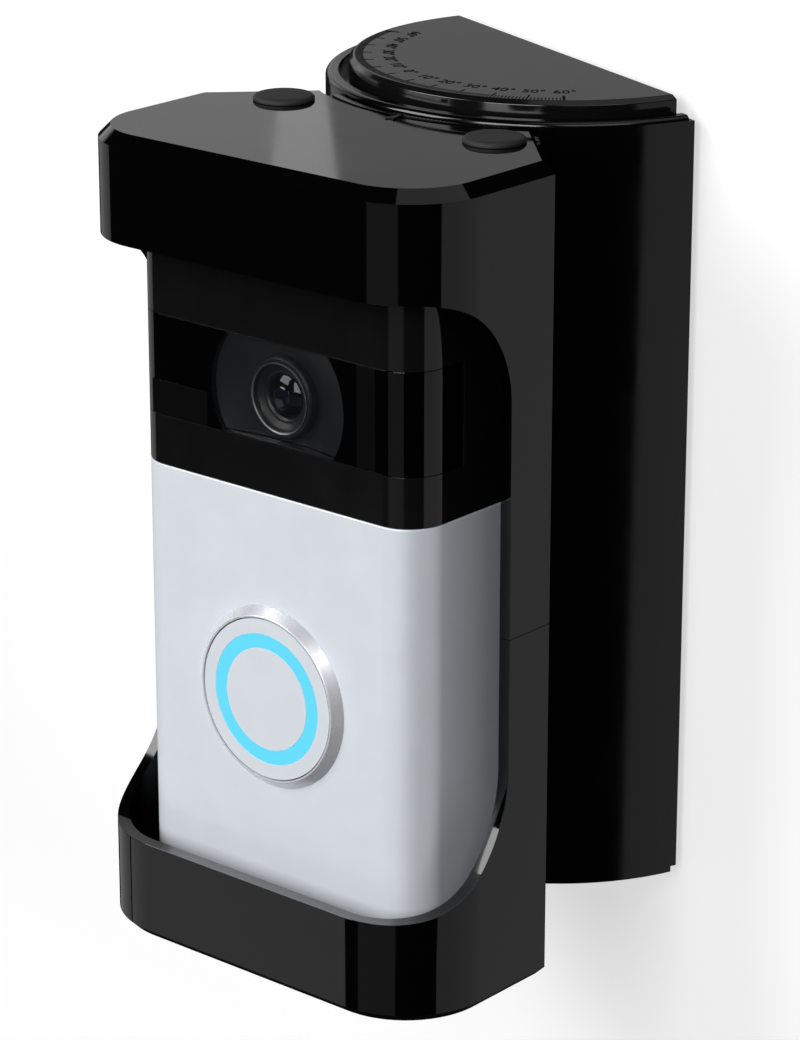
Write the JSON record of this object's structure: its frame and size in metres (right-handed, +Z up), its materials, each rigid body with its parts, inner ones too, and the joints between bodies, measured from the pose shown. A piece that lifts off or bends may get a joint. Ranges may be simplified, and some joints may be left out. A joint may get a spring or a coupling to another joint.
{
  "type": "video doorbell",
  "caption": "Video doorbell with camera window and light-ring button, held in a swivelling anti-theft holder on a half-round wall base with a dial.",
  "frame": {"origin": "middle of the flat back of the wall base, on the wall", "axes": "+Z up, -Y out of the wall towards the visitor, +X to the right as seen from the front"},
  "size_m": [0.1015, 0.0891, 0.1446],
  "materials": {
    "gloss_black": "polished black moulded plastic",
    "shell_black": "semi-gloss black moulded plastic",
    "cap_black": "satin dark grey plastic with fine black dial marks",
    "satin_silver": "satin silver with a very fine sandblasted grain",
    "polished_silver": "bright turned metal bevel",
    "dark_glass": "smoked clear window",
    "lens_glass": "coated camera lens",
    "dark_grey": "fine matt dark grey plastic",
    "light_blue": "lit translucent light pipe",
    "rubber_black": "matt black rubber",
    "steel": "plain machined steel",
    "foam_black": "dense black foam",
    "circuit_green": "green solder-masked circuit board",
    "cell_grey": "grey battery case"
  },
  "bodies": {
    "base": {"base_shell": "shell_black", "dial_cap": "cap_black", "back_plate": "shell_black", "adhesive_pad": "foam_black", "base_screw_1": "steel", "base_screw_2": "steel", "base_screw_3": "steel", "base_screw_4": "steel"},
    "holder": {"holder_upper": "gloss_black", "holder_lower": "gloss_black", "index_rack": "shell_black", "index_pointer": "steel", "clamp_bolt_left": "steel", "clamp_bolt_right": "steel", "clamp_nut_left": "steel", "clamp_nut_right": "steel", "swivel_bolt_upper": "steel", "swivel_bolt_lower": "steel", "swivel_shoe_upper": "steel", "swivel_shoe_lower": "steel", "bottom_pad": "foam_black", "rear_pad_left": "foam_black", "rear_pad_right": "foam_black", "faceplate": "satin_silver", "upper_cover": "gloss_black", "camera_window": "dark_glass", "rear_housing": "shell_black", "body_gasket": "rubber_black", "security_screw": "steel", "camera_shroud": "dark_grey", "lens_barrel": "gloss_black", "lens_ring": "polished_silver", "lens_glass": "lens_glass", "camera_board": "circuit_green", "button_bezel": "polished_silver", "button_dome": "rubber_black", "bell_switch": "dark_grey", "main_board": "circuit_green", "battery_pack": "cell_grey", "battery_contacts": "steel", "speaker": "dark_grey", "radio_module": "steel", "microphone": "steel", "motion_sensor": "steel"},
    "button": {"button_cap": "satin_silver", "light_ring": "light_blue"},
    "plug_left": {"screw_plug_left": "rubber_black"},
    "plug_right": {"screw_plug_right": "rubber_black"}
  },
  "joints": [
    {"name": "swivel", "type": "hinge", "parent": "base", "child": "holder", "pos_m": [0, -0.0024, 0], "axis": [0, 0, 1], "range_deg": [-72.7, 31.3]},
    {"name": "button_press", "type": "slide", "parent": "holder", "child": "button", "axis": [-0.3535, 0.9354, 0], "range_m": [0, 0.0008], "stiffness_N_per_m": 1500, "springref_m": -0.0005},
    {"name": "plug_left_pull", "type": "slide", "parent": "holder", "child": "plug_left", "axis": [0, 0, 1], "range_m": [0, 0.006]},
    {"name": "plug_right_pull", "type": "slide", "parent": "holder", "child": "plug_right", "axis": [0, 0, 1], "range_m": [0, 0.006]}
  ]
}
